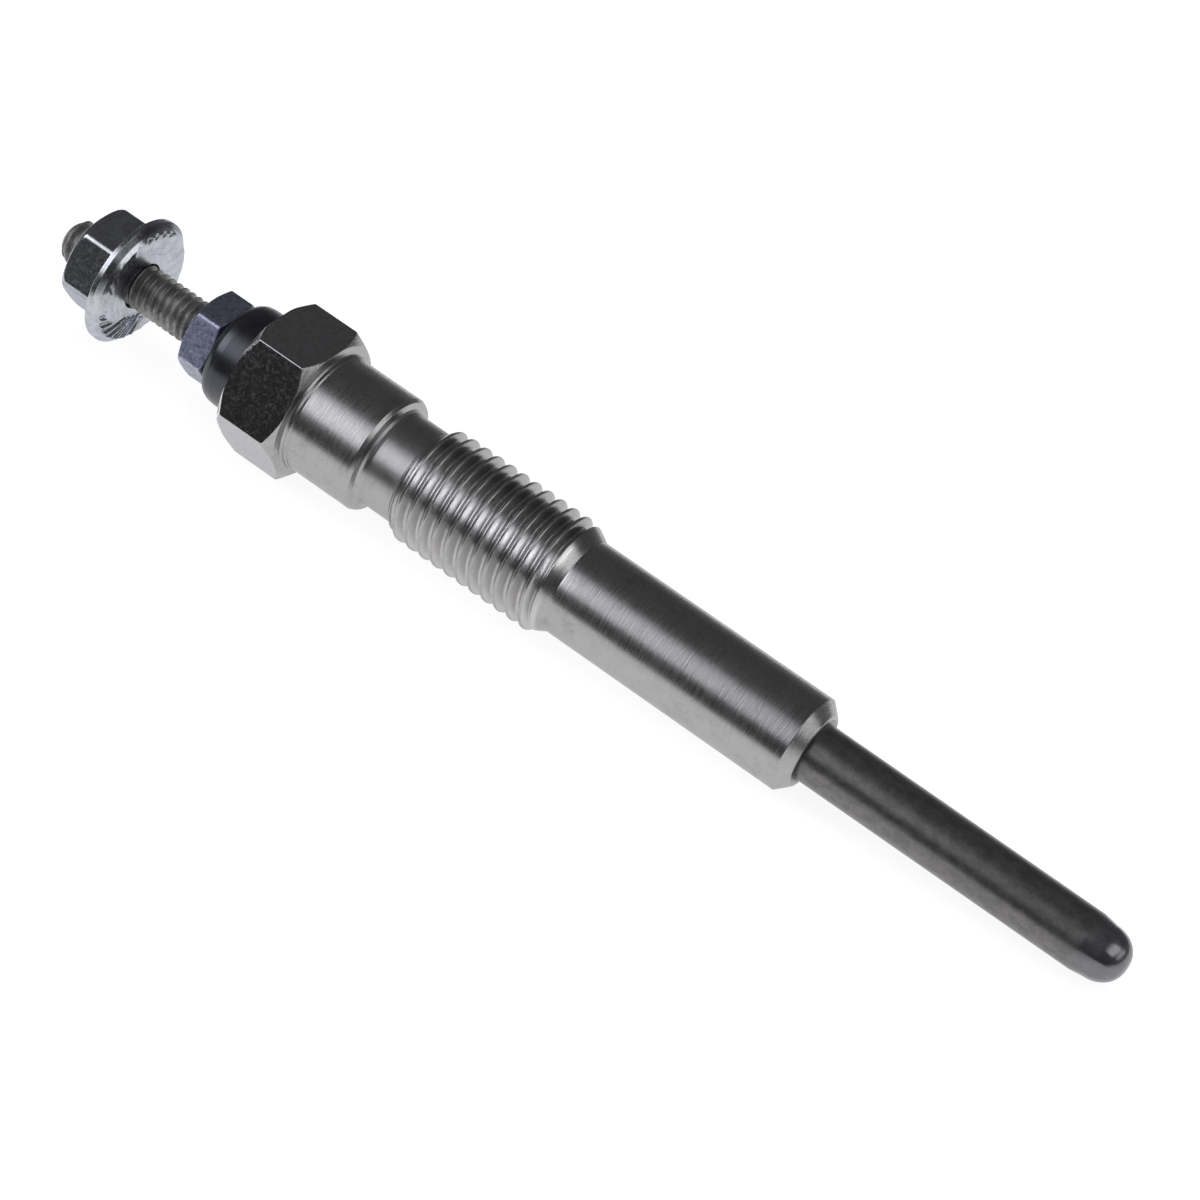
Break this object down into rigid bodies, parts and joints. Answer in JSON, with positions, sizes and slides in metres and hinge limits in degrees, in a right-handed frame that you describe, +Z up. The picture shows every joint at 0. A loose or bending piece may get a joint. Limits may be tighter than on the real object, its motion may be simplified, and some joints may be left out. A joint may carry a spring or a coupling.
{
  "type": "diesel glow plug",
  "caption": "Slim diesel glow plug with a metal heater sheath, hexagonal threaded body, insulated terminal stud and a loose flange nut.",
  "frame": {"origin": "centre of the bounding box on the surface that the plug lies on", "axes": "+X along the plug towards the hot tip, +Z up; the plug's own axis leans nose down by 2.26 degrees in the XZ plane"},
  "size_m": [0.1034, 0.0138, 0.0125],
  "materials": {
    "nickel_plate": "bright nickel plate over turned steel, fine lathe lines",
    "sheath_alloy": "dark satin heat-resisting alloy",
    "stud_steel": "dull oiled steel thread",
    "zinc_plate": "bright clear zinc plate",
    "blue_zinc_plate": "bluish zinc plate",
    "black_phenolic": "smooth black moulding",
    "black_rubber": "matt",
    "magnesia": "compacted white powder",
    "resistance_wire": "drawn wire"
  },
  "bodies": {
    "plug": {"body_shell": "nickel_plate", "heater_sheath": "sheath_alloy", "sheath_seal": "black_rubber", "magnesia_fill": "magnesia", "regulating_coil": "resistance_wire", "heating_coil": "resistance_wire", "centre_rod": "stud_steel", "body_seal_ring": "black_rubber", "insulating_bush": "black_phenolic", "terminal_hex_nut": "blue_zinc_plate"},
    "terminal_nut": {"terminal_flange_nut": "zinc_plate"}
  },
  "joints": [
    {"name": "flange_nut_travel", "type": "slide", "parent": "plug", "child": "terminal_nut", "axis": [-0.9992, 0, 0.0395], "range_m": [-0.0063, 0.0042]}
  ]
}
